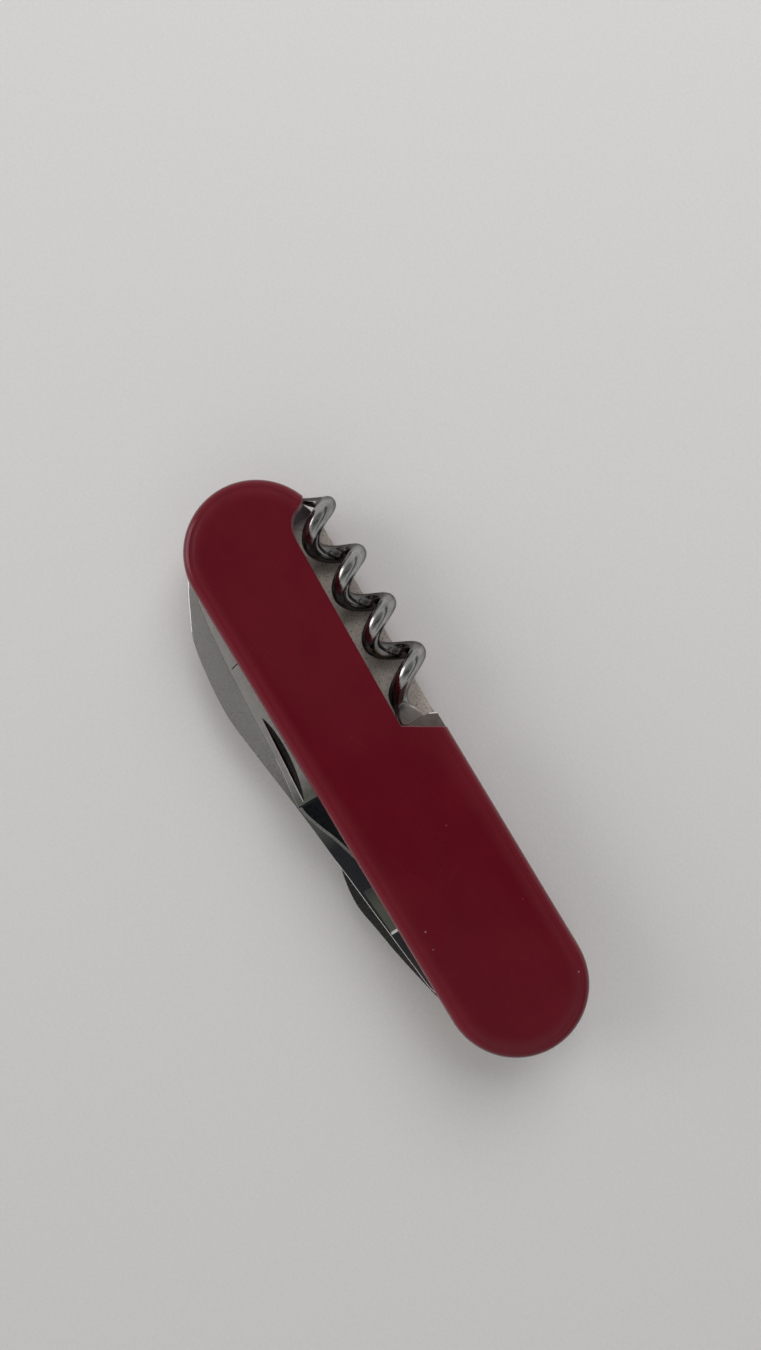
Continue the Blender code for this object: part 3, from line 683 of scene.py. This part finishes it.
worm = []
tip_turns, run_out = -0.3, 3.33
for k in range(177):
    turns = tip_turns + (run_out - tip_turns) * k / 176
    size = 0.1 + (WIRE - 0.1) * math.sqrt(min(1.0, (turns - tip_turns) / 0.42))
    angle = 2.0 * math.pi * turns
    outward = Vector((0.0, math.cos(angle), math.sin(angle)))
    worm.append(wire_section(worm_centre(turns), worm_heading(turns), outward, size, size, 2.0))
shank_from, shank_heading = worm_centre(run_out), worm_heading(run_out)
neck_x, neck_y, neck_half = -6.0, 6.25, 1.3
shank_to = Vector((neck_x, neck_y, WORM_Z))
along_x, down = Vector((1.0, 0.0, 0.0)), Vector((0.0, -1.0, 0.0))
reach = (shank_to - shank_from).length * 0.4
start_pull = shank_from + shank_heading * reach
end_pull = shank_to - Vector((reach, 0.0, 0.0))
for k in range(1, 19):
    t = k / 18
    centre = (shank_from * (1 - t) ** 3 + start_pull * 3 * t * (1 - t) ** 2
              + end_pull * 3 * t ** 2 * (1 - t) + shank_to * t ** 3)
    heading = ((start_pull - shank_from) * (1 - t) ** 2 + (end_pull - start_pull) * 2 * t * (1 - t)
               + (shank_to - end_pull) * t ** 2).normalized()
    worm.append(wire_section(centre, heading, outward.lerp(down, t), WIRE - 0.06 * t, WIRE, 2.0 + t))
eye_x, eye_y, eye_radius = -1.1, 6.8, 2.5
neck_reach = 0.9
neck_end = eye_x - neck_reach
joined_height = math.sqrt(eye_radius ** 2 - neck_reach ** 2)
for k in range(1, 9):
    t = k / 8
    centre = Vector((neck_x + (neck_end - neck_x) * t, neck_y + (eye_y - neck_y) * t, WORM_Z))
    half_height = neck_half + (joined_height - neck_half) * t ** 0.8
    worm.append(wire_section(centre, along_x, down, half_height, WIRE, 3.0 + 6.0 * min(1.0, 2.0 * t)))
for k in range(1, 25):
    sweep = math.acos(-neck_reach / eye_radius) * (24.6 - k) / 24.6
    centre = Vector((eye_x + eye_radius * math.cos(sweep), eye_y, WORM_Z))
    worm.append(wire_section(centre, along_x, down, eye_radius * math.sin(sweep), WIRE, 9.0))
corkscrew = skinned("corkscrew_wire", worm)
pin_hole = arc((eye_x, eye_y), 1.1, 0.0, 360.0, 48)[:-1]
cut_away(corkscrew, skinned("pin_hole", [levelled(pin_hole, 4.0), levelled(pin_hole, 12.0)]))
chrome, tree, shader = started("worn_chrome", (0.45, 0.455, 0.45), 0.08, 1.0)
smear = grain(tree, (1.6, 1.0, 1.6), 5.0)
drawn = grain(tree, (0.9, 0.12, 0.9), 3.0, 25.0)
colour = tinted(tree, ranged(tree, smear, 0.3, 0.7, 0.0, 1.0), (0.36, 0.36, 0.355), (0.48, 0.48, 0.47))
wrap = tree.nodes.new("ShaderNodeUVMap")
lay = tree.nodes.new("ShaderNodeMapping")
lay.inputs["Scale"].default_value = (9.0, 16.0, 1.0)
streak = tree.nodes.new("ShaderNodeTexNoise")
streak.inputs["Scale"].default_value = 1.0
streak.inputs["Detail"].default_value = 4.0
tree.links.new(wrap.outputs["UV"], lay.inputs["Vector"])
tree.links.new(lay.outputs["Vector"], streak.inputs["Vector"])
colour = tinted(tree, ranged(tree, streak.outputs["Fac"], 0.5, 0.62, 0.0, 0.4), colour, (0.12, 0.12, 0.12))
# Painted shade: the wire darkens towards its lower strands, and on its flank facing the notch's lower wall
# back to the neck.
shaded_underside = ranged(tree, measured(tree, "Z"), 6.2 * MM, 8.8 * MM, 1.0, 0.0)
colour = tinted(tree, shaded_underside, colour, (0.13, 0.125, 0.12))
shaded_low_side = sum_of(tree, ranged(tree, measured(tree, "Y"), 6.0 * MM, 8.0 * MM, 0.9, 0.0),
                  ranged(tree, measured(tree, "X"), -7.0 * MM, -5.4 * MM, 1.0, 0.0), kind="MULTIPLY")
colour = tinted(tree, shaded_low_side, colour, (0.06, 0.05, 0.05))
flattened = sum_of(tree, ranged(tree, measured(tree, "X"), -5.9 * MM, -5.2 * MM, 0.0, 1.0),
                   ranged(tree, measured(tree, "Z"), 8.4 * MM, 8.9 * MM, 0.0, 0.75), kind="MULTIPLY")
colour = tinted(tree, flattened, colour, (0.7, 0.6, 0.57))
tree.links.new(colour, shader.inputs["Base Color"])
shader.inputs["Specular Tint"].default_value = (0.4, 0.4, 0.4, 1.0)
tree.links.new(ranged(tree, sum_of(tree, smear, drawn), 0.7, 1.3, 0.04, 0.15), shader.inputs["Roughness"])
embossed(tree, shader, sum_of(tree, drawn, smear, streak.outputs["Fac"]), 0.014)
corkscrew.data.materials.clear()
corkscrew.data.materials.append(chrome)
smoothed(corkscrew, 45.0)
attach(corkscrew, "corkscrew")
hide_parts("corkscrew")


# ---- Rivets, washers, pin and spacers ------------------------------------------
# The hidden fastenings: steel rivets closed over brass washers in pockets inside the
# scales, and the corkscrew's pin with a brass sleeve each side of its eye.

brass, tree, shader = started("turned_brass", (0.6, 0.42, 0.18), 0.32, 1.0)
turning = grain(tree, (0.3, 0.3, 0.3), 5.0)
tree.links.new(tinted(tree, turning, (0.48, 0.32, 0.12), (0.72, 0.54, 0.26)), shader.inputs["Base Color"])
tree.links.new(ranged(tree, turning, 0.3, 0.7, 0.25, 0.42), shader.inputs["Roughness"])
embossed(tree, shader, turning, 0.01)
for node, piece in nodes.items():
    if "washer" in node or "spacer" in node:
        for place in piece.material_slots:
            place.material = brass
    elif "rivet" in node or node == "corkscrew_pin":
        for place in piece.material_slots:
            place.material = spring_steel


# ---- Table, light and camera ---------------------------------------------------
# A pale matt table top. One soft light stands on the left and one beyond the far end, the
# room holds a dark patch and a dark band for the metal to mirror, and the camera looks
# straight down on the knife from close by.

work = bmesh.new()
for x, y in ((-1.0, -1.0), (1.0, -1.0), (1.0, 1.0), (-1.0, 1.0)):
    work.verts.new((x, y, 0.0))
work.verts.ensure_lookup_table()
work.faces.new(work.verts)
table_mesh = bpy.data.meshes.new("table_top")
work.to_mesh(table_mesh)
work.free()
table = bpy.data.objects.new("table_top", table_mesh)
bpy.context.scene.collection.objects.link(table)
pale, tree, shader = started("pale_table", (0.72, 0.7, 0.69), 0.6)
speckle = grain(tree, (0.5, 0.5, 0.5), 3.0)
tree.links.new(tinted(tree, speckle, (0.68, 0.665, 0.655), (0.76, 0.745, 0.735)), shader.inputs["Base Color"])
embossed(tree, shader, speckle, 0.02)
table.data.materials.append(pale)

RIGHT = Vector((0.5157, 0.8568, 0.0))
UP = Vector((-0.8568, 0.5157, 0.0))

camera_data = bpy.data.cameras.new("camera")
camera = bpy.data.objects.new("camera", camera_data)
bpy.context.scene.collection.objects.link(camera)
camera.location = (-0.0115, 0.006, 0.1413)
camera.rotation_euler = (0.0, 0.0, math.atan2(RIGHT.y, RIGHT.x))
camera_data.sensor_fit = "VERTICAL"
camera_data.sensor_height = 24.0
camera_data.lens = 24.0 * 130.0 / 187.0
camera_data.clip_start = 0.005
bpy.context.scene.camera = camera

for name, place, size, power in (
    ("window", RIGHT * -1.1 + UP * 0.25 + Vector((0, 0, 0.52)), (0.7, 0.95), 4.6),
    ("far_window", UP * 0.45 + RIGHT * 0.12 + Vector((0, 0, 0.45)), (0.45, 0.45), 2.2),
):
    light_data = bpy.data.lights.new(name, "AREA")
    light_data.shape = "RECTANGLE"
    light_data.size, light_data.size_y = size
    light_data.energy = power
    light_data.color = (0.98, 0.99, 1.0)
    light = bpy.data.objects.new(name, light_data)
    bpy.context.scene.collection.objects.link(light)
    light.location = place
    light.visible_glossy = name == "window"
    light.rotation_euler = (-place).to_track_quat("-Z", "Y").to_euler()

world = bpy.data.worlds.new("room")
bpy.context.scene.world = world
world.use_nodes = True
tree = world.node_tree
sky = tree.nodes["Background"]
direction = tree.nodes.new("ShaderNodeTexCoord")


def towards(vector):
    """How far the seen direction points along a vector."""
    dot = tree.nodes.new("ShaderNodeVectorMath")
    dot.operation = "DOT_PRODUCT"
    dot.inputs[1].default_value = vector
    tree.links.new(direction.outputs["Generated"], dot.inputs[0])
    return dot.outputs["Value"]


ceiling = ranged(tree, towards((0.0, 0.0, 1.0)), 0.72, 0.9, 0.54, 0.2)
along = towards(-UP)
phone = sum_of(tree, ranged(tree, along, 0.03, 0.1, 0.0, 1.0), ranged(tree, along, 0.2, 0.3, 1.0, 0.0),
               ranged(tree, towards((0.0, 0.0, 1.0)), 0.9, 0.95, 0.0, 1.0), kind="MULTIPLY")
shelf = sum_of(tree, ranged(tree, towards(RIGHT), 0.35, 0.5, 0.0, 1.0),
               ranged(tree, towards((0.0, 0.0, 1.0)), 0.36, 0.42, 0.0, 1.0),
               ranged(tree, towards((0.0, 0.0, 1.0)), 0.6, 0.68, 1.0, 0.0), kind="MULTIPLY")
shade = sum_of(tree, phone, shelf, kind="MAXIMUM")
tree.links.new(tinted(tree, shade, (1.0, 0.985, 0.965), (0.2, 0.21, 0.22)), sky.inputs["Color"])
tree.links.new(ceiling, sky.inputs["Strength"])

bpy.context.scene.view_settings.view_transform = "Standard"
